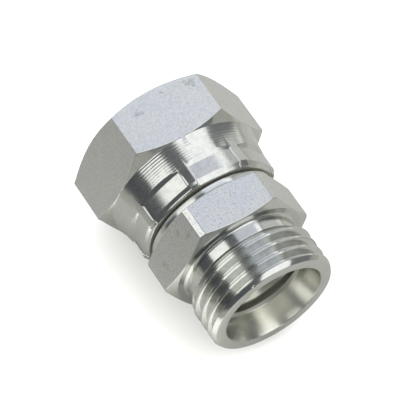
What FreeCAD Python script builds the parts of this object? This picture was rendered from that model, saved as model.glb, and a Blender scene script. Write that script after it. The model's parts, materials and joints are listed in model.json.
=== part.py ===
import FreeCAD, Part
import math
import os

# Straight hydraulic adapter with a crimped swivel nut, for 12 mm tube of the light series.
# The axis of the fitting is the X axis. x = 0 is the open end of the nut, and the male end
# points towards +X. The fitting lies on a flat of the nut, which faces -Z.
# Millimetres and degrees.

# Hexagons
nut_af = 22.0            # across the flats of the swivel nut
body_af = 19.0           # across the flats of the body
body_corner_d = 21.44    # the body's bar is turned down at its corners
nut_chamfer_angle = 30.0    # of the hexagon's ends, from the face
body_chamfer_angle = 22.0

# Thread M18 x 1.5, kept as plain cylinders at the sizes that a gauge would touch
thread_d = 18.0          # outside of the male thread
thread_pitch = 1.5
minor_share = 1.0825     # the female thread is smaller inside by this share of the pitch
relief_depth = 0.2       # of the relief behind the female thread, below the thread's outside

# Swivel nut, from its open end to its tail
nut_hex_length = 8.55    # the front chamfer meets the neck here
nut_neck_length = 3.65
nut_tail_length = 3.0
nut_rear_face_drop = 0.55   # the rear face is smaller than the flats by this much a side
nut_thread_length = 6.3
nut_relief_length = 1.2
neck_drop = 0.75         # from the flats to the tail, a side
neck_bend_length = 1.53  # of the steeper part of the neck, next to the hexagon
neck_bend_drop = 0.45    # which comes down by this much a side
tail_end_drop = 0.5
tail_end_chamfer = 0.75
lip_edge_break = 0.3

# Crimping: eight jaws press the tail in over the flange
jaw_count = 8
jaw_gap_angle = 7.4      # ridge left between two jaws
jaw_turn = 13.0          # first ridge, from +Y towards +Z
jaw_depth = 0.35         # deepest point of each impression, below the tail
jaw_face_radius = 16.0   # curve of the jaw's own face
jaw_length = 2.95        # length of an impression, from the end of the tail
jaw_lead_angle = 30.0
jaw_lead_length = 1.5

# Nose of the body: 24 degree cone with an O-ring groove
cone_angle = 24.0        # included angle of the nose and of the mouth
nose_tip = 1.2           # how far the nose stays back from the nut's open end
nose_length = 7.1
nose_tip_d = 11.4
nose_bore_d = 8.0
groove_centre = 1.95     # from the nose tip
ring_section = 1.5
ring_squeeze = 0.03      # the ring is stretched on to its groove and gets this much thinner
ring_proud = 0.155       # how far the ring stands out of the cone
ring_room = 0.4          # how much wider the groove is than the ring
ring_sides = 16          # the ring's round section is turned as this many narrow flats
edge_break = 0.2

# Flange that holds the nut, and the neck behind it
flange_pass = 0.19       # gap a side as the flange goes in through the nut's thread
flange_length = 1.6
neck_d = 14.0
root_fillet = 0.3
chamber_clearance = 0.25    # between the flange and the nut around it
lip_clearance = 0.5      # between the neck and the lip around it
lip_gap = 0.3            # between the flange's shoulder and the lip that holds it
tail_gap = 0.25          # between the nut's tail and the collar

# Collar and hexagon
collar_drop = 0.2        # the collar is smaller than the flats by this much a side
collar_length = 0.95
body_hex_length = 5.67
body_turn = -2.24        # how far the body has turned in its nut as the fitting lies

# Male end
male_length = 8.33       # from the hexagon's front face to the end of the fitting
undercut_depth = 0.9
undercut_length = 1.93
run_in_angle = 45.0      # slope of the thread's start, from the axis
end_chamfer = 0.6        # along the axis
end_chamfer_angle = 30.0    # from the axis
mouth_d = 14.3
cone_depth = 3.5
socket_d = 12.2
socket_depth = 5.2
male_bore_d = 10.0
male_bore_depth = 12.9   # where the male side's drilling stops, from its end
drill_angle = 118.0

X = FreeCAD.Vector(1, 0, 0)
ORIGIN = FreeCAD.Vector(0, 0, 0)
beyond = 5.0             # how far a cutting tool reaches past the work

# Values that follow from the driving dimensions
tan_cone = math.tan(math.radians(cone_angle / 2))
tan_nut_hex = math.tan(math.radians(nut_chamfer_angle))
tan_body_hex = math.tan(math.radians(body_chamfer_angle))
thread_minor_d = thread_d - minor_share * thread_pitch

nut_neck_end = nut_hex_length + nut_neck_length
nut_length = nut_neck_end + nut_tail_length
tail_r = nut_af / 2 - neck_drop

collar_rear = nut_length + tail_gap
collar_d = body_af - 2 * collar_drop
body_hex_rear = collar_rear + collar_length
body_hex_middle = body_hex_rear + body_hex_length / 2
body_hex_front = body_hex_rear + body_hex_length
body_end = body_hex_front + male_length

flange_d = thread_minor_d - 2 * flange_pass
flange_front = nose_tip + nose_length
shoulder_x = flange_front + flange_length
shoulder_run = (flange_d - neck_d) / 2

section_d = ring_section - ring_squeeze
groove_x = nose_tip + groove_centre
groove_width = ring_section + ring_room
groove_floor_r = nose_tip_d / 2 + groove_centre * tan_cone + ring_proud - section_d


def revolve(outline):
    """Turn a closed outline of (x, radius) points about the axis."""
    points = [FreeCAD.Vector(x, r, 0) for x, r in outline]
    face = Part.Face(Part.makePolygon(points + [points[0]]))
    return face.revolve(ORIGIN, X, 360)


def cylinder_along(x_start, x_end, r):
    """A cylinder on the axis, between two stations."""
    return Part.makeCylinder(r, x_end - x_start, FreeCAD.Vector(x_start, 0, 0), X)


def hex_bar(across_flats, x_start, x_end):
    """Hexagonal bar along the axis with a flat facing +Z and one facing -Z."""
    corner = across_flats / 2 / math.cos(math.radians(30))
    points = []
    for k in range(6):
        a = math.radians(60 * k)
        points.append(FreeCAD.Vector(x_start, corner * math.cos(a), corner * math.sin(a)))
    face = Part.Face(Part.makePolygon(points + [points[0]]))
    return face.extrude(FreeCAD.Vector(x_end - x_start, 0, 0))


def chamfered_envelope(rear, rear_r, front, front_r, reach, slope):
    """Solid of turning that a hexagon is cut to: a chamfer cone at each end."""
    rear_run = (reach - rear_r) * slope
    front_run = (reach - front_r) * slope
    return revolve([
        (rear, 0), (rear, rear_r), (rear + rear_run, reach),
        (front - front_run, reach), (front, front_r), (front, 0),
    ])


def make_body():
    # hexagon with turned-down corners and both chamfers
    hexagon = hex_bar(body_af, body_hex_rear, body_hex_front)
    envelope = chamfered_envelope(body_hex_rear, collar_d / 2, body_hex_front, collar_d / 2,
                                  body_corner_d / 2, tan_body_hex)
    hexagon = hexagon.common(envelope)
    hexagon.rotate(ORIGIN, X, body_turn)

    # everything turned behind the hexagon: nose, flange, neck and collar
    nose_end_r = nose_tip_d / 2 + (flange_front - nose_tip) * tan_cone
    rear = revolve([
        (nose_tip, 0), (nose_tip, nose_tip_d / 2 - edge_break),
        (nose_tip + edge_break, nose_tip_d / 2 + edge_break * tan_cone),
        (flange_front, nose_end_r), (flange_front, flange_d / 2 - edge_break),
        (flange_front + edge_break, flange_d / 2), (shoulder_x, flange_d / 2),
        (shoulder_x + shoulder_run, neck_d / 2),
        (collar_rear - root_fillet, neck_d / 2), (collar_rear, neck_d / 2 + root_fillet),
        (collar_rear, collar_d / 2), (body_hex_middle, collar_d / 2), (body_hex_middle, 0),
    ])

    # everything turned in front of it: undercut, thread with its run-in, end chamfer
    thread_start = body_hex_front + undercut_length
    thread_r = thread_d / 2
    undercut_r = thread_r - undercut_depth
    run_in_length = undercut_depth / math.tan(math.radians(run_in_angle))
    end_drop = end_chamfer * math.tan(math.radians(end_chamfer_angle))
    front = revolve([
        (body_hex_middle, 0), (body_hex_middle, undercut_r + root_fillet),
        (body_hex_front, undercut_r + root_fillet), (body_hex_front + root_fillet, undercut_r),
        (thread_start, undercut_r), (thread_start + run_in_length, thread_r),
        (body_end - end_chamfer, thread_r), (body_end, thread_r - end_drop), (body_end, 0),
    ])
    body = rear.fuse([hexagon, front])

    # O-ring groove
    groove_rear = groove_x - groove_width / 2
    groove_front = groove_x + groove_width / 2
    ring_cut = cylinder_along(groove_rear, groove_front, flange_d / 2)
    ring_cut = ring_cut.cut(cylinder_along(groove_rear, groove_front, groove_floor_r))
    body = body.cut(ring_cut)

    # bore: 24 degree mouth, tube socket, stop shoulder and the two drillings
    cone_end_r = mouth_d / 2 - cone_depth * tan_cone
    cone_end = body_end - cone_depth
    socket_lead = cone_end_r - socket_d / 2
    socket_end = body_end - socket_depth
    drill_end = body_end - male_bore_depth
    drill_run = (male_bore_d - nose_bore_d) / 2 / math.tan(math.radians(drill_angle / 2))
    bore = revolve([
        (nose_tip - beyond, 0), (nose_tip - beyond, nose_bore_d / 2 + edge_break),
        (nose_tip, nose_bore_d / 2 + edge_break), (nose_tip + edge_break, nose_bore_d / 2),
        (drill_end, nose_bore_d / 2), (drill_end + drill_run, male_bore_d / 2),
        (socket_end, male_bore_d / 2), (socket_end, socket_d / 2),
        (cone_end - socket_lead, socket_d / 2), (cone_end, cone_end_r),
        (body_end, mouth_d / 2), (body_end + beyond, mouth_d / 2), (body_end + beyond, 0),
    ])
    return body.cut(bore).removeSplitter()


def neck_and_tail():
    """Outside of the nut in front of its hexagon: the neck, swept in two tapers, and the tail."""
    neck_bend = nut_hex_length + neck_bend_length
    return revolve([
        (nut_hex_length, 0), (nut_hex_length, nut_af / 2), (neck_bend, nut_af / 2 - neck_bend_drop),
        (nut_neck_end, tail_r), (nut_length - tail_end_chamfer, tail_r),
        (nut_length, tail_r - tail_end_drop), (nut_length, 0),
    ])


def jaw_cutter():
    """What one crimping jaw presses in, on the +Y side."""
    half = (360.0 / jaw_count - jaw_gap_angle) / 2
    reach = nut_af
    jaw_start = nut_length - jaw_length
    x_start = jaw_start - jaw_lead_length
    x_end = nut_length + beyond
    wedge_points = [FreeCAD.Vector(x_start, 0, 0)]
    for side in (-1, 1):
        a = math.radians(side * half)
        wedge_points.append(FreeCAD.Vector(x_start, reach * math.cos(a), reach * math.sin(a)))
    wedge = Part.Face(Part.makePolygon(wedge_points + [wedge_points[0]]))
    wedge = wedge.extrude(FreeCAD.Vector(x_end - x_start, 0, 0))
    lead_rise = jaw_lead_length * math.tan(math.radians(jaw_lead_angle))
    # the jaw presses the tail's end chamfer in with the rest, so its face follows it
    core = revolve([
        (x_start, 0), (x_start, jaw_face_radius + lead_rise), (jaw_start, jaw_face_radius),
        (nut_length - tail_end_chamfer, jaw_face_radius),
        (nut_length, jaw_face_radius - tail_end_drop), (x_end, jaw_face_radius - tail_end_drop),
        (x_end, 0),
    ])
    core.translate(FreeCAD.Vector(0, tail_r - jaw_depth - jaw_face_radius, 0))
    return wedge.cut(core)


def make_nut():
    # hexagon, chamfered at both ends, and the turned tail in front of it
    flat_r = nut_af / 2
    corner_r = flat_r / math.cos(math.radians(30))
    hexagon = hex_bar(nut_af, 0, nut_hex_length)
    hexagon = hexagon.common(chamfered_envelope(0, flat_r - nut_rear_face_drop, nut_hex_length, flat_r,
                                                corner_r, tan_nut_hex))
    nut = hexagon.fuse(neck_and_tail())

    # bore: threaded entry, relief, chamber for the flange and the lip closed in behind it
    thread_r = thread_minor_d / 2
    entry_r = thread_d / 2 + edge_break
    relief_end = nut_thread_length + nut_relief_length
    chamber_r = flange_d / 2 + chamber_clearance
    lip_r = neck_d / 2 + lip_clearance
    lip_start = shoulder_x + shoulder_run - (lip_r - neck_d / 2) + lip_gap
    chamber_end = lip_start - (chamber_r - lip_r)
    bore = revolve([
        (-beyond, 0), (-beyond, entry_r), (0, entry_r), (entry_r - thread_r, thread_r),
        (nut_thread_length, thread_r), (nut_thread_length + edge_break, thread_d / 2 + relief_depth),
        (relief_end, thread_d / 2 + relief_depth), (relief_end + edge_break, chamber_r),
        (chamber_end, chamber_r), (lip_start, lip_r),
        (nut_length - lip_edge_break, lip_r), (nut_length, lip_r + lip_edge_break),
        (nut_length + beyond, lip_r + lip_edge_break), (nut_length + beyond, 0),
    ])
    nut = nut.cut(bore)

    # eight jaw impressions with narrow ridges between them
    pitch = 360.0 / jaw_count
    for k in range(jaw_count):
        jaw = jaw_cutter()
        jaw.rotate(ORIGIN, X, jaw_turn + pitch * (k + 0.5))
        nut = nut.cut(jaw)
    return nut.removeSplitter()


def make_ring():
    section_r = section_d / 2
    middle_r = groove_floor_r + section_r
    section = []
    for k in range(ring_sides):
        a = math.radians(360 / ring_sides * (k + 0.5))
        section.append((groove_x + section_r * math.cos(a), middle_r + section_r * math.sin(a)))
    return revolve(section)


os.makedirs("parts", exist_ok=True)
parts = {
    "adapter_body": make_body(),
    "swivel_nut": make_nut(),
    "o_ring": make_ring(),
}
for name, shape in parts.items():
    if len(shape.Solids) != 1 or not shape.isValid():
        raise RuntimeError(name + " is not one valid solid")
    solid = shape.Solids[0]
    solid.exportStep("parts/" + name + ".step")
    print(name, "volume", round(solid.Volume, 1), "faces", len(solid.Faces))
print("overall length", round(body_end, 2))
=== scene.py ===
import json
import math

import bpy
from mathutils import Matrix, Quaternion, Vector

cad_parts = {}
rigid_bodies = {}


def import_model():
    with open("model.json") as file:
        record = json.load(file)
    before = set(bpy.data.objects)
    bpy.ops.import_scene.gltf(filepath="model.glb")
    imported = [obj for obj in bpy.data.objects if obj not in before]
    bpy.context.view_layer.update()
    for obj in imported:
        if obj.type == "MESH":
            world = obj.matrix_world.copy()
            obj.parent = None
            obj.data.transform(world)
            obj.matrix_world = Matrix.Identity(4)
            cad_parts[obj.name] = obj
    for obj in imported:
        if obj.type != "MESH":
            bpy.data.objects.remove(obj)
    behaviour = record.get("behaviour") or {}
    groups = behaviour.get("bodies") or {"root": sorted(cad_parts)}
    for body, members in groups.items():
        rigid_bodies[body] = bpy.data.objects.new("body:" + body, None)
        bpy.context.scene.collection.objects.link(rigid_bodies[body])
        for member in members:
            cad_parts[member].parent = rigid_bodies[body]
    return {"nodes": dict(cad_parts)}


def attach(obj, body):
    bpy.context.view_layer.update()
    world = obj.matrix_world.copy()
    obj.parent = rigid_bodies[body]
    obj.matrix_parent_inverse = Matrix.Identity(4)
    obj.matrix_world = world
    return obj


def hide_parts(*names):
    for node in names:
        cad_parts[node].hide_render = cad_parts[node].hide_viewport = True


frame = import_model()
print("frame loaded:", ", ".join(sorted(frame["nodes"])))

mm = 0.001
joined = 0.0005 * mm      # corners nearer than this become one
touching = 0.001 * mm
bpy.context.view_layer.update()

# Shape tools: each works on real sizes in millimetres


def pickNothing():
    if bpy.context.object and bpy.context.object.mode != "OBJECT":
        bpy.ops.object.mode_set(mode="OBJECT")
    bpy.ops.object.select_all(action="DESELECT")


def pickOnly(piece):
    pickNothing()
    piece.select_set(True)
    bpy.context.view_layer.objects.active = piece


def applyModifier(piece, kind, **settings):
    pickOnly(piece)
    modifier = piece.modifiers.new(kind.lower(), kind)
    for name, value in settings.items():
        setattr(modifier, name, value)
    bpy.ops.object.modifier_apply(modifier=modifier.name)


def cutAway(piece, tool):
    applyModifier(piece, "BOOLEAN", operation="DIFFERENCE", solver="EXACT", object=tool)
    bpy.data.objects.remove(tool)


def closeAndFaceOut():
    bpy.ops.mesh.select_all(action="SELECT")
    bpy.ops.mesh.remove_doubles(threshold=joined)
    bpy.ops.mesh.normals_make_consistent(inside=False)
    bpy.ops.object.mode_set(mode="OBJECT")


def drawOutline(name, points):
    # one corner of a small plane is kept and extruded from point to point, then joined up
    pickNothing()
    bpy.ops.mesh.primitive_plane_add(size=mm, location=(0, 0, 0))
    piece = bpy.context.object
    piece.name = name
    corners = [Vector(p) * mm for p in points]
    bpy.ops.object.mode_set(mode="EDIT")
    bpy.ops.mesh.select_all(action="SELECT")
    bpy.ops.mesh.merge(type="CENTER")
    bpy.ops.transform.translate(value=corners[0])
    for here, there in zip(corners, corners[1:]):
        bpy.ops.mesh.extrude_region_move(TRANSFORM_OT_translate={"value": there - here})
    bpy.ops.mesh.select_all(action="SELECT")
    ends = (corners[0], corners[-1])
    bpy.ops.object.mode_set(mode="OBJECT")
    for vertex in piece.data.vertices:
        vertex.select = any((vertex.co - end).length < touching for end in ends)
    for edge in piece.data.edges:
        edge.select = False
    bpy.ops.object.mode_set(mode="EDIT")
    bpy.ops.mesh.select_mode(type="VERT")
    bpy.ops.mesh.edge_face_add()
    bpy.ops.object.mode_set(mode="OBJECT")
    return piece


def turned(name, outline, steps, axisOffset=0.0):
    # a closed outline of (x, radius), turned about a line along X
    piece = drawOutline(name, [(x, axisOffset + r, 0) for x, r in outline])
    bpy.ops.object.mode_set(mode="EDIT")
    bpy.ops.mesh.select_all(action="SELECT")
    bpy.ops.mesh.spin(steps=steps, angle=math.tau, center=(0, axisOffset * mm, 0), axis=(1, 0, 0))
    closeAndFaceOut()
    return piece


def turnAbout(piece, degrees):
    pickOnly(piece)
    piece.rotation_euler = (math.radians(degrees), 0, 0)
    bpy.ops.object.transform_apply(location=False, rotation=True, scale=False)


def hexagonTool(acrossFlats, reach, start, end, turn):
    # what a mill takes off outside a hexagon
    pickNothing()
    corner = acrossFlats / 2 / math.cos(math.radians(30))
    sideways = (0, math.radians(90), 0)
    bpy.ops.mesh.primitive_circle_add(vertices=6, radius=corner * mm, location=(start * mm, 0, 0),
                                      rotation=sideways)
    tool = bpy.context.object
    bpy.ops.object.mode_set(mode="EDIT")
    bpy.ops.mesh.primitive_circle_add(vertices=6, radius=reach * mm, location=(start * mm, 0, 0),
                                      rotation=sideways)
    bpy.ops.mesh.select_all(action="SELECT")
    bpy.ops.mesh.bridge_edge_loops()
    bpy.ops.mesh.select_all(action="SELECT")
    bpy.ops.mesh.extrude_region_move(TRANSFORM_OT_translate={"value": ((end - start) * mm, 0, 0)})
    closeAndFaceOut()
    bpy.ops.object.transform_apply(location=True, rotation=True, scale=True)
    turnAbout(tool, turn)
    return tool


def threadTool(thread):
    # the groove's section goes round the axis and forward by one pitch a turn, right-handed
    rows = thread["groove"]
    start = thread["start"]
    section = [(start - half, radius, 0) for radius, half in rows]
    section += [(start + half, radius, 0) for radius, half in reversed(rows)]
    tool = drawOutline("threadTool", section)
    applyModifier(tool, "SCREW", axis="X", screw_offset=thread["pitch"] * mm, angle=math.tau,
                  iterations=thread["turns"], steps=thread["steps"], render_steps=thread["steps"],
                  use_normal_calculate=False, use_smooth_shade=False)
    bpy.ops.object.mode_set(mode="EDIT")
    bpy.ops.mesh.select_all(action="SELECT")
    bpy.ops.mesh.fill_holes(sides=len(section))
    closeAndFaceOut()
    turnAbout(tool, thread["startTurn"])
    return tool


def breakEdges(piece, width, angle):
    applyModifier(piece, "BEVEL", width=width * mm, segments=2, limit_method="ANGLE",
                  angle_limit=math.radians(angle), use_clamp_overlap=False)


def shadeAsTurned(piece, angle):
    # broad faces keep their own normals, and the narrow broken edges take up the bend
    pickOnly(piece)
    bpy.ops.object.shade_smooth_by_angle(angle=math.radians(angle))
    applyModifier(piece, "WEIGHTED_NORMAL", mode="FACE_AREA", weight=100, keep_sharp=True)


# Finishes


class Wire:
    # a socket that takes part in Python expressions
    def __init__(self, finish, socket):
        self.finish = finish
        self.socket = socket

    def math(self, operation, first, second):
        return self.finish.add("Math", {"operation": operation}, {0: first, 1: second})

    def __add__(self, other):
        return self.math("ADD", self, other)

    def __radd__(self, other):
        return self.math("ADD", other, self)

    def __sub__(self, other):
        return self.math("SUBTRACT", self, other)

    def __rsub__(self, other):
        return self.math("SUBTRACT", other, self)

    def __mul__(self, other):
        return self.math("MULTIPLY", self, other)

    def __rmul__(self, other):
        return self.math("MULTIPLY", other, self)

    def __truediv__(self, other):
        return self.math("DIVIDE", self, other)

    def step(self, low, high):
        return self.finish.add("MapRange", {"interpolation_type": "SMOOTHSTEP"},
                               {"Value": self, "From Min": low, "From Max": high})


class Finish:
    # one material: its shader, its place in millimetres and the nodes that its patterns need
    def __init__(self, name, shader):
        self.material = bpy.data.materials.new(name)
        self.material.use_nodes = True
        self.tree = self.material.node_tree
        self.shader = self.tree.nodes["Principled BSDF"]
        for socket, value in shader.items():
            self.shader.inputs[socket].default_value = value
        metres = self.add("TexCoord", {}, {}, "Object")
        self.place = self.add("VectorMath", {"operation": "SCALE"}, {0: metres, "Scale": 1 / mm})
        split = {"Vector": self.place}
        self.x = self.add("SeparateXYZ", {}, split, "X")
        self.y = self.add("SeparateXYZ", {}, split, "Y")
        self.z = self.add("SeparateXYZ", {}, split, "Z")
        self.radius = self.add("Math", {"operation": "SQRT"}, {0: self.y * self.y + self.z * self.z})

    def add(self, kind, settings, sockets, output=0):
        node = self.tree.nodes.new("ShaderNode" + kind)
        for name, value in settings.items():
            setattr(node, name, value)
        for name, value in sockets.items():
            self.plug(node.inputs[name], value)
        return Wire(self, node.outputs[output])

    def plug(self, socket, value):
        if isinstance(value, Wire):
            self.tree.links.new(value.socket, socket)
        else:
            socket.default_value = value

    def noise(self, scale, detail, place=None):
        return self.add("TexNoise", {}, {"Vector": place or self.place, "Scale": scale, "Detail": detail},
                        "Fac")

    def vector(self, x, y, z):
        return self.add("CombineXYZ", {}, {"X": x, "Y": y, "Z": z})

    def mixColour(self, factor, first, second):
        return self.add("Mix", {"data_type": "RGBA"}, {"Factor": factor, 6: first, 7: second}, 2)

    def near(self, spot, size):
        # 1 at a spot and 0 beyond its size, with a ragged rim
        away = self.add("VectorMath", {"operation": "DISTANCE"}, {0: self.place, 1: spot}, "Value")
        rag = self.noise(rubbed["scale"] / size, rubbed["detail"]) - 0.5
        ragged = away + rag * size * rubbed["raggedness"]
        return 1 - ragged.step(size * rubbed["core"], size * rubbed["rim"])

    def circling(self, fineness, wander=0.7):
        # noise in rings about the axis, as a turning tool leaves it
        across = self.x * fineness + self.y / self.radius * wander
        along = self.radius * fineness + self.z / self.radius * wander
        return self.noise(1.0, 3.0, self.vector(across, along, 0.0))

    def done(self, colour, roughness=None, height=None, depth=None):
        self.plug(self.shader.inputs["Base Color"], colour)
        if roughness is not None:
            self.plug(self.shader.inputs["Roughness"], roughness)
        if height is not None:
            bump = self.add("Bump", {}, {"Strength": 1.0, "Distance": depth * mm, "Height": height})
            self.plug(self.shader.inputs["Normal"], bump)
        return self.material


zinc = {
    "colour": (0.60, 0.61, 0.58, 1),
    "darker": (0.42, 0.43, 0.395, 1),
    "lavender": (0.57, 0.575, 0.60, 1),
    "soiled": (0.25, 0.235, 0.215, 1),
    # the next two colours are lighter than the outer zinc: painted light that brightens the bore's hollow
    "mouthLitLight": (0.80, 0.80, 0.75, 1),
    "mouthLitDark": (0.69, 0.69, 0.62, 1),
    # the next two colours are darker than the zinc: painted shade for the rough faces in the gap between nut
    # and body and in the socket's corner
    "dullShadedLight": (0.52, 0.52, 0.46, 1),
    "dullShadedDark": (0.42, 0.42, 0.37, 1),
    "feed": 0.27,             # pitch of the lines that the turning tool leaves
    "neckFeed": 0.36,
    # the marks that lie on the flats: middle and size in millimetres
    "nutMarks": [((2.6, -3.2, 11.0), 0.75), ((2.1, 4.75, 11.0), 1.0), ((1.4, 1.0, 11.0), 0.35)],
    "bodyMarks": [((19.3, -9.4, 2.8), 0.6), ((18.3, -7.0, 7.1), 0.5), ((19.7, -6.2, 8.2), 0.5)],
}
# each noise is given by its scale and detail, a range by where it sets in and where it is full,
# and swing is how far the roughness goes up and down
rubbed = {"scale": 2.2, "detail": 5.0, "raggedness": 4.5, "core": 0.3, "rim": 0.8, "share": 0.45}
flat = {
    "grain": (4.4, 3.0),
    "grainRange": (0.38, 0.68),
    "grainShare": 0.45,
    "cloud": (0.5, 3.0),
    "cloudRange": (0.35, 0.65),
    "cloudShare": 0.6,
    "speck": (4.8, 1.0),
    "speckRange": (0.65, 0.7),
    "speckShare": 0.7,
    "speckHeight": -0.8,
    "swing": 0.2,
    "depth": 0.015,
}
lathe = {
    "fineness": 6.0,
    "patch": (0.35, 2.0),
    "patchRange": (0.3, 0.55),
    "sideRange": (0.2, -0.15),
    "farSide": 0.12,          # what is left of the lines on the +Y side
    "cloud": (0.6, 3.0),
    "cloudShare": 0.5,
    "stain": (1.4, 4.0),
    "stainRange": (0.42, 0.62),
    "swing": 0.14,
    "depth": 0.0022,
}
inside = {
    "fineness": 5.0,
    "cloud": (0.5, 3.0),
    "grain": (5.0, 3.0),
    "grainHeight": 0.5,
    "swing": 0.12,
    "depth": 0.0025,
}
rubber = {
    "colour": (0.012, 0.012, 0.013, 1),
    "dusty": (0.05, 0.05, 0.05, 1),
    "grain": (8.0, 3.0),
    "dust": (1.2, 4.0),
    "dustRange": (0.55, 0.75),
    "dustShare": 0.3,
    "roughness": 0.42,
    "swing": 0.3,
    "depth": 0.004,
}


def zincFlat(name, roughness, marks):
    # drawn bar under satin zinc: a mottled grain with fine specks and a few rubbed marks
    finish = Finish(name, {"Metallic": 1.0})
    grain = finish.noise(*flat["grain"])
    cloud = finish.noise(*flat["cloud"]).step(*flat["cloudRange"])
    speck = finish.noise(*flat["speck"]).step(*flat["speckRange"])
    colour = finish.mixColour(cloud * flat["cloudShare"], zinc["colour"], zinc["lavender"])
    mottle = grain.step(*flat["grainRange"]) * flat["grainShare"]
    colour = finish.mixColour(mottle, colour, zinc["darker"])
    colour = finish.mixColour(speck * flat["speckShare"], colour, zinc["darker"])
    for spot, size in marks:
        colour = finish.mixColour(finish.near(spot, size) * rubbed["share"], colour, zinc["soiled"])
    height = grain + speck * flat["speckHeight"]
    return finish.done(colour, roughness + (grain - 0.5) * flat["swing"], height, flat["depth"])


def zincTurned(name, roughness, pitch, lines, mottle):
    # turned steel under bright zinc: rings of fine lines, deeper in places and on the -Y side
    finish = Finish(name, {"Metallic": 1.0})
    rings = finish.circling(lathe["fineness"])
    nearSide = (finish.y / finish.radius).step(*lathe["sideRange"])
    side = lathe["farSide"] + (1 - lathe["farSide"]) * nearSide
    patch = finish.noise(*lathe["patch"]).step(*lathe["patchRange"]) * side
    feed = finish.add("Math", {"operation": "SINE"}, {0: finish.x * (math.tau / pitch)})
    height = rings + feed * patch * lines
    cloud = finish.noise(*lathe["cloud"]) * lathe["cloudShare"]
    colour = finish.mixColour(cloud, zinc["colour"], zinc["darker"])
    stain = finish.noise(*lathe["stain"]).step(*lathe["stainRange"])
    colour = finish.mixColour(stain * mottle, colour, zinc["darker"])
    return finish.done(colour, roughness + (rings - 0.5) * lathe["swing"], height, lathe["depth"])


def zincInside(name, roughness, light, dark):
    # two colours mixed by a cloud noise over fine rings; the bore's colours are lighter than the outer zinc,
    # painted light in the hollow, and the dull colours are darker, painted shade in the gaps and the
    # socket's corner
    finish = Finish(name, {"Metallic": 1.0})
    rings = finish.circling(inside["fineness"])
    grain = finish.noise(*inside["grain"])
    colour = finish.mixColour(finish.noise(*inside["cloud"]), light, dark)
    height = rings + grain * inside["grainHeight"]
    return finish.done(colour, roughness + (rings - 0.5) * inside["swing"], height, inside["depth"])


def sealRubber():
    # smooth black rubber with a little pale dust
    finish = Finish("sealRubber", {"Specular IOR Level": 0.4})
    grain = finish.noise(*rubber["grain"])
    dust = finish.noise(*rubber["dust"]).step(*rubber["dustRange"])
    colour = finish.mixColour(dust * rubber["dustShare"], rubber["colour"], rubber["dusty"])
    roughness = rubber["roughness"] + (grain - 0.5) * rubber["swing"]
    return finish.done(colour, roughness, grain, rubber["depth"])


def paint(piece, finishes, choose):
    # each face gets the finish that choose names from its middle and its normal
    names = list(finishes)
    for name in names:
        piece.data.materials.append(finishes[name])
    for face in piece.data.polygons:
        face.material_index = names.index(choose(face.center / mm, face.normal))


# Fitting body: nose, flange, neck, collar, hexagon, male thread and stepped bore

body = {
    "outline": [
        (1.2, 4.2), (1.2, 5.5), (1.4, 5.743), (2.2, 5.913), (2.2, 4.8), (4.1, 4.8), (4.1, 6.316),
        (8.3, 7.209), (8.3, 7.798), (8.5, 7.998), (9.9, 7.998), (10.898, 7.0), (15.15, 7.0), (15.4, 7.3),
        (15.4, 9.05), (15.6, 9.3), (16.4, 9.3), (16.974, 10.72), (21.496, 10.72), (22.07, 9.3), (22.07, 8.4),
        (22.37, 8.1), (24.0, 8.1), (24.9, 9.0), (29.8, 9.0), (30.4, 8.654), (30.4, 7.15), (26.9, 6.406),
        (26.594, 6.1), (25.2, 6.1), (25.2, 5.0), (18.1, 5.0), (17.5, 4.0), (1.4, 4.0),
    ],
    "steps": 144,
    "acrossFlats": 19.0,
    "hexReach": 20.0,
    "hexStart": 15.8,
    "hexEnd": 22.45,
    "turn": -2.24,
    "edge": 0.07,
    "edgeAngle": 24,
    "smoothAngle": 18,
    "thread": {"pitch": 1.5, "start": 23.49, "startTurn": 180, "turns": 6, "steps": 96,
               "groove": [(8.13, 0.08), (8.9, 0.525), (9.0, 0.6), (9.2, 0.7)]},
    "threadEnd": [(29.3, 0), (29.3, 8.1), (29.85, 9.0), (29.85, 9.3), (33.5, 9.3), (33.5, 0)],
    "nick": {"at": (30.45, -3.06, 8.15), "radius": 0.32, "segments": 16, "rings": 8},
    # where each finish lies: from and to along X, and radii
    "flatZone": (16.45, 22.05),
    "flatRadius": 9.4,
    "collarFace": (15.3, 15.65),
    "socketStep": (26.6, 26.9),
    "innerZone": (1.25, 30.3),
    "innerRadius": 7.1,
    "outerOnly": (8.5, 15.8),
    "noseEnd": 5,
    "threadZone": (23.9, 29.8),
    "mouthRadius": 7.2,
}

fittingBody = turned("fittingBody", body["outline"], body["steps"])
cutAway(fittingBody, hexagonTool(body["acrossFlats"], body["hexReach"], body["hexStart"], body["hexEnd"],
                                 body["turn"]))
breakEdges(fittingBody, body["edge"], body["edgeAngle"])
maleThread = threadTool(body["thread"])
cutAway(maleThread, turned("threadEnd", body["threadEnd"], body["steps"]))
cutAway(fittingBody, maleThread)
pickNothing()
nick = body["nick"]
bpy.ops.mesh.primitive_uv_sphere_add(segments=nick["segments"], ring_count=nick["rings"],
                                     radius=nick["radius"] * mm, location=Vector(nick["at"]) * mm)
cutAway(fittingBody, bpy.context.object)
shadeAsTurned(fittingBody, body["smoothAngle"])
print("fitting body:", len(fittingBody.data.polygons), "faces")

# Swivel nut: chamfered hexagon, tapered neck, crimped tail and female thread

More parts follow.
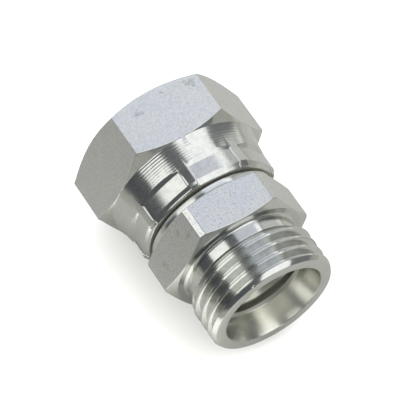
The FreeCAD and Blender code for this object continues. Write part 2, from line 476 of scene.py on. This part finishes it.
nut = {
    "outline": [
        (0, 10.45), (1.3, 12.702), (7.567, 12.702), (8.55, 11.0), (10.08, 10.55), (12.2, 10.25),
        (14.45, 10.25), (14.82, 9.93), (15.1, 9.88), (15.2, 9.75), (15.2, 7.8), (14.9, 7.5), (10.698, 7.5),
        (9.95, 8.248), (7.7, 8.248), (7.5, 9.2), (6.5, 9.2), (6.3, 8.188), (1.012, 8.188), (0, 9.2),
    ],
    "steps": 144,
    "acrossFlats": 22.0,
    "hexReach": 20.0,
    "hexStart": -1.0,
    "hexEnd": 10.0,
    "edge": 0.07,
    "edgeAngle": 24,
    "smoothAngle": 18,
    "thread": {"pitch": 1.5, "start": -2.0, "startTurn": 0, "turns": 6, "steps": 96,
               "groove": [(7.98, 0.69), (8.15, 0.6), (8.25, 0.53), (9.05, 0.07)]},
    "flatZone": (0, 8.4),
    "flatRadius": 10.6,
    "innerZone": (0, 15),
    "innerRadius": 9.3,
    "endFace": 15.15,
    "pressedStart": 12.1,
    "pressedRadius": 10.2,
    "neckZone": (8.55, 12.25),
}
jaws = {
    "count": 8, "gapAngle": 7.4, "firstRidge": 13.0, "depthRadius": 9.9, "faceRadius": 16.0,
    "start": 12.15, "leadLength": 1.5, "leadAngle": 40.0, "end": 20.0, "reach": 22.0, "steps": 288,
    "rolledEnd": [(14.45, 0), (14.82, 0.32), (15.1, 0.37), (15.2, 0.5), (21, 0.5)],
}


def jawTool():
    # a sector of the space outside the jaw's curved face
    half = math.radians((360 / jaws["count"] - jaws["gapAngle"]) / 2)
    rear = jaws["start"] - jaws["leadLength"]
    wide = jaws["reach"] * math.sin(half)
    far = jaws["reach"] * math.cos(half)
    tool = drawOutline("jawTool", [(rear, 0, 0), (rear, far, -wide), (rear, far, wide)])
    bpy.ops.object.mode_set(mode="EDIT")
    bpy.ops.mesh.select_all(action="SELECT")
    bpy.ops.mesh.edge_face_add()
    length = jaws["end"] - rear
    bpy.ops.mesh.extrude_region_move(TRANSFORM_OT_translate={"value": (length * mm, 0, 0)})
    closeAndFaceOut()
    face = jaws["faceRadius"]
    lead = face + jaws["leadLength"] * math.tan(math.radians(jaws["leadAngle"]))
    outline = [(rear - 1, 0), (rear - 1, lead), (rear, lead), (jaws["start"], face)]
    outline += [(x, face - drop) for x, drop in jaws["rolledEnd"]]
    outline.append((outline[-1][0], 0))
    core = turned("jawFace", outline, jaws["steps"], jaws["depthRadius"] - face)
    cutAway(tool, core)
    return tool


swivelNut = turned("swivelNut", nut["outline"], nut["steps"])
cutAway(swivelNut, hexagonTool(nut["acrossFlats"], nut["hexReach"], nut["hexStart"], nut["hexEnd"], 0.0))
jaw = jawTool()
for k in range(jaws["count"]):
    oneJaw = jaw.copy()
    oneJaw.data = jaw.data.copy()
    bpy.context.collection.objects.link(oneJaw)
    turnAbout(oneJaw, jaws["firstRidge"] + 360 / jaws["count"] * (k + 0.5))
    cutAway(swivelNut, oneJaw)
bpy.data.objects.remove(jaw)
breakEdges(swivelNut, nut["edge"], nut["edgeAngle"])
cutAway(swivelNut, threadTool(nut["thread"]))
shadeAsTurned(swivelNut, nut["smoothAngle"])
print("swivel nut:", len(swivelNut.data.polygons), "faces")

# O-ring, stretched on to its groove: a round section that the groove's floor flattens a little

seal = {
    "x": 3.15,
    "middleRadius": 5.535,
    "section": 1.47,
    "flattened": 0.03,
    "points": 24,
    "steps": 128,
    "smoothAngle": 40,
}


def sealOutline():
    radius = seal["section"] / 2
    points = []
    for k in range(seal["points"]):
        angle = math.tau * k / seal["points"]
        low = seal["middleRadius"] + radius * math.sin(angle)
        points.append((seal["x"] + radius * math.cos(angle),
                       max(low, seal["middleRadius"] - radius + seal["flattened"])))
    return points


sealRing = turned("sealRing", sealOutline(), seal["steps"])
shadeAsTurned(sealRing, seal["smoothAngle"])
print("seal ring:", len(sealRing.data.polygons), "faces")

# Finishes on their faces

nutFlat = zincFlat("zincNutFlat", roughness=0.36, marks=zinc["nutMarks"])
bodyFlat = zincFlat("zincBodyFlat", roughness=0.235, marks=zinc["bodyMarks"])
turnedZinc = zincTurned("zincTurned", roughness=0.15, pitch=zinc["feed"], lines=0.5, mottle=0.15)
neckZinc = zincTurned("zincNeck", roughness=0.17, pitch=zinc["neckFeed"], lines=3.4, mottle=0.25)
pressedZinc = zincTurned("zincPressed", roughness=0.18, pitch=zinc["feed"], lines=0.0, mottle=0.35)
threadZinc = zincTurned("zincThread", roughness=0.17, pitch=zinc["feed"], lines=0.15, mottle=0.3)
boreLitZinc = zincInside("zincBoreLit", roughness=0.22, light=zinc["mouthLitLight"], dark=zinc["mouthLitDark"])
dullShadedZinc = zincInside("zincDullShaded", roughness=0.55, light=zinc["dullShadedLight"], dark=zinc["dullShadedDark"])
level = 0.01              # how far a flat's normal may lean along X


def within(x, zone):
    return zone[0] < x < zone[1]


def bodyFinish(middle, normal):
    radius = math.hypot(middle.y, middle.z)
    if within(middle.x, body["flatZone"]) and abs(normal.x) < level and radius > body["flatRadius"]:
        return "flat"
    # the collar's face in the gap under the nut: rough zinc with painted shade
    if within(middle.x, body["collarFace"]) and normal.x < -0.5:
        return "dullShaded"
    # the socket's corner deep in the bore: rough zinc with painted shade
    if within(middle.x, body["socketStep"]) and normal.x > 0.5:
        return "dullShaded"
    hollow = radius < body["innerRadius"] and within(middle.x, body["innerZone"])
    if hollow and not within(middle.x, body["outerOnly"]):
        return "bore" if middle.x > body["noseEnd"] else "turned"
    if within(middle.x, body["threadZone"]):
        return "thread"
    if middle.x > body["threadZone"][1] and radius < body["mouthRadius"]:
        return "thread"
    return "turned"


def nutFinish(middle, normal):
    radius = math.hypot(middle.y, middle.z)
    if within(middle.x, nut["flatZone"]) and abs(normal.x) < level and radius > nut["flatRadius"]:
        return "flat"
    if within(middle.x, nut["innerZone"]) and radius < nut["innerRadius"]:
        return "bore"
    # the tail's end face in the gap: rough zinc with painted shade
    if middle.x > nut["endFace"] and normal.x > 0.9:
        return "dullShaded"
    if middle.x > nut["pressedStart"] and radius < nut["pressedRadius"]:
        return "pressed"
    if within(middle.x, nut["neckZone"]):
        return "neck"
    return "turned"


paint(fittingBody, {"turned": turnedZinc, "flat": bodyFlat, "thread": threadZinc, "bore": boreLitZinc,
                    "dullShaded": dullShadedZinc}, bodyFinish)
paint(swivelNut, {"turned": turnedZinc, "flat": nutFlat, "neck": neckZinc, "pressed": pressedZinc,
                  "bore": boreLitZinc, "dullShaded": dullShadedZinc}, nutFinish)
sealRing.data.materials.append(sealRubber())

for piece, bodyName, node, slot in (
    (fittingBody, "body", "adapter_body", "zinc_body"),
    (swivelNut, "nut", "swivel_nut", "zinc_nut"),
    (sealRing, "body", "o_ring", "seal_rubber"),
):
    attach(piece, bodyName)
    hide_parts(node)
print("pieces ride on their bodies")

# Floor, light and camera

studio = {
    "floorHeight": -11.0,
    "floorRadius": 65.0,
    "floorSteps": 96,
    "floorColour": (0.82, 0.82, 0.80, 1),
    "floorMirrored": (0.35, 0.35, 0.33, 1),
    # a painted pool of light that only metal mirrors, at the place and reach below
    "floorMirroredPaintedLight": (0.85, 0.85, 0.82, 1),
    "paintedLightPlace": (48, -36, 0),
    "paintedLightReach": (36, 20),
    "aim": (14.2, 0.35, 0.0),
    "azimuth": 60.22,
    "elevation": 60.85,
    "distance": 308.2,
    "roll": 2.03,
    "fieldOfView": 10.17,
    "clipStart": 10,
    "lightDistance": 350,
    "backdrop": (1.55, 1.55, 1.55, 1),
    "leftSurround": (0.09, 0.096, 0.108, 1),
}
# what else metal mirrors, each over the one before: the right, rear and far sides, and the table
surrounds = [
    {"way": (0, 1, 0), "range": (-1, 1), "colour": (0.24, 0.25, 0.265, 1)},
    {"way": (-1, 0, 0), "range": (0.52, 0.6), "colour": (0.62, 0.64, 0.66, 1)},
    {"way": (1, 0, -0.6), "range": (0.78, 0.95), "colour": (0.45, 0.455, 0.435, 1)},
    {"way": (0, 0, -1), "range": (-0.02, 0.1), "colour": (0.54, 0.54, 0.505, 1)},
]
lights = [
    {"name": "leftSoftbox", "towards": (-0.25, -0.635, 0.743), "along": 275, "across": 222,
     "radiance": 1.42, "colour": (1.0, 1.0, 0.98)},
    {"name": "rightSoftbox", "towards": (0.39, 0.402, 0.915), "along": 510, "across": 318,
     "radiance": 1.38, "colour": (1.0, 1.0, 1.02)},
    {"name": "rightPanel", "towards": (-0.387, 0.308, 0.869), "along": 118, "across": 240,
     "radiance": 0.68, "colour": (0.96, 1.0, 1.16)},
    {"name": "rightStrip", "towards": (-0.41, 0.65, 0.66), "along": 125, "across": 52,
     "radiance": 1.38, "colour": (1.0, 1.0, 1.02)},
    {"name": "rearSoftbox", "towards": (-0.62, 0.262, 0.74), "along": 110, "across": 240,
     "radiance": 0.75, "colour": (0.97, 1.0, 1.24)},
    {"name": "rightCard", "towards": (-0.37, 0.90, 0.22), "along": 130, "across": 280,
     "radiance": 0.58, "colour": (1.0, 1.0, 0.98)},
]


def floorFinish():
    # metal mirrors the floor darker than it is seen, with a painted pool of light at one place
    finish = Finish("paleFloor", {"Roughness": 0.9, "Specular IOR Level": 0.1})
    away = finish.add("VectorMath", {"operation": "DISTANCE"}, {0: finish.place, 1: studio["paintedLightPlace"]},
                      "Value")
    paintedPool = away.step(*studio["paintedLightReach"])
    mirrorColour = finish.mixColour(paintedPool, studio["floorMirrored"], studio["floorMirroredPaintedLight"])
    mirrored = finish.add("LightPath", {}, {}, "Is Glossy Ray")
    return finish.done(finish.mixColour(mirrored, studio["floorColour"], mirrorColour))


pickNothing()
bpy.ops.mesh.primitive_circle_add(vertices=studio["floorSteps"], radius=studio["floorRadius"] * mm,
                                  fill_type="NGON", location=(0, 0, studio["floorHeight"] * mm))
floor = bpy.context.object
floor.name = "floor"
floor.data.materials.append(floorFinish())

aim = Vector(studio["aim"]) * mm
for light in lights:
    # a softbox faces the fitting, with two edges along the fitting's axis
    towards = Vector(light["towards"]).normalized()
    across = towards.cross(Vector((1, 0, 0))).normalized()
    along = across.cross(towards)
    bpy.ops.object.light_add(type="AREA")
    lamp = bpy.context.object
    lamp.name = light["name"]
    place = Matrix((along, across, towards)).transposed().to_4x4()
    place.translation = aim + towards * studio["lightDistance"] * mm
    lamp.matrix_world = place
    lamp.data.shape = "RECTANGLE"
    lamp.data.size = light["along"] * mm
    lamp.data.size_y = light["across"] * mm
    lamp.data.energy = light["radiance"] * math.pi * lamp.data.size * lamp.data.size_y
    lamp.data.color = light["colour"]

# metal mirrors a dim room, and everything else stands in pale, even light
world = bpy.data.worlds.new("studioWorld")
bpy.context.scene.world = world
world.use_nodes = True
worldTree = world.node_tree


def worldNode(kind, output, **links):
    node = worldTree.nodes.new("ShaderNode" + kind)
    for name, socket in links.items():
        worldTree.links.new(socket, node.inputs[name])
    return node.outputs[output]


def worldMix(factor, first, second):
    node = worldTree.nodes.new("ShaderNodeMix")
    node.data_type = "RGBA"
    for name, value in {"Factor": factor, 6: first, 7: second}.items():
        if isinstance(value, bpy.types.NodeSocket):
            worldTree.links.new(value, node.inputs[name])
        else:
            node.inputs[name].default_value = value
    return node.outputs[2]


def facing(way, low, high):
    # 0 to 1 as the direction turns to a way
    dot = worldTree.nodes.new("ShaderNodeVectorMath")
    dot.operation = "DOT_PRODUCT"
    dot.inputs[1].default_value = way
    worldTree.links.new(worldNode("TexCoord", "Generated"), dot.inputs[0])
    share = worldNode("MapRange", "Result", Value=dot.outputs["Value"])
    share.node.inputs["From Min"].default_value = low
    share.node.inputs["From Max"].default_value = high
    return share


room = studio["leftSurround"]
for surround in surrounds:
    room = worldMix(facing(surround["way"], *surround["range"]), room, surround["colour"])
mirrored = worldNode("LightPath", "Is Glossy Ray")
seen = worldMix(mirrored, studio["backdrop"], room)
worldTree.links.new(seen, worldTree.nodes["Background"].inputs["Color"])

bpy.context.scene.view_settings.view_transform = "Standard"
bpy.context.scene.view_settings.look = "None"

azimuth = math.radians(studio["azimuth"])
elevation = math.radians(studio["elevation"])
back = Vector((math.sin(azimuth) * math.cos(elevation), -math.cos(azimuth) * math.cos(elevation),
               math.sin(elevation)))
bpy.ops.object.camera_add(location=aim + back * studio["distance"] * mm)
camera = bpy.context.object
camera.rotation_mode = "QUATERNION"
rolled = Quaternion((0, 0, 1), math.radians(-studio["roll"]))
camera.rotation_quaternion = back.to_track_quat("Z", "Y") @ rolled
camera.data.angle = math.radians(studio["fieldOfView"])
camera.data.clip_start = studio["clipStart"] * mm
bpy.context.scene.camera = camera
print("studio ready")


def corners(box):
    return [list(corner) for corner in box]
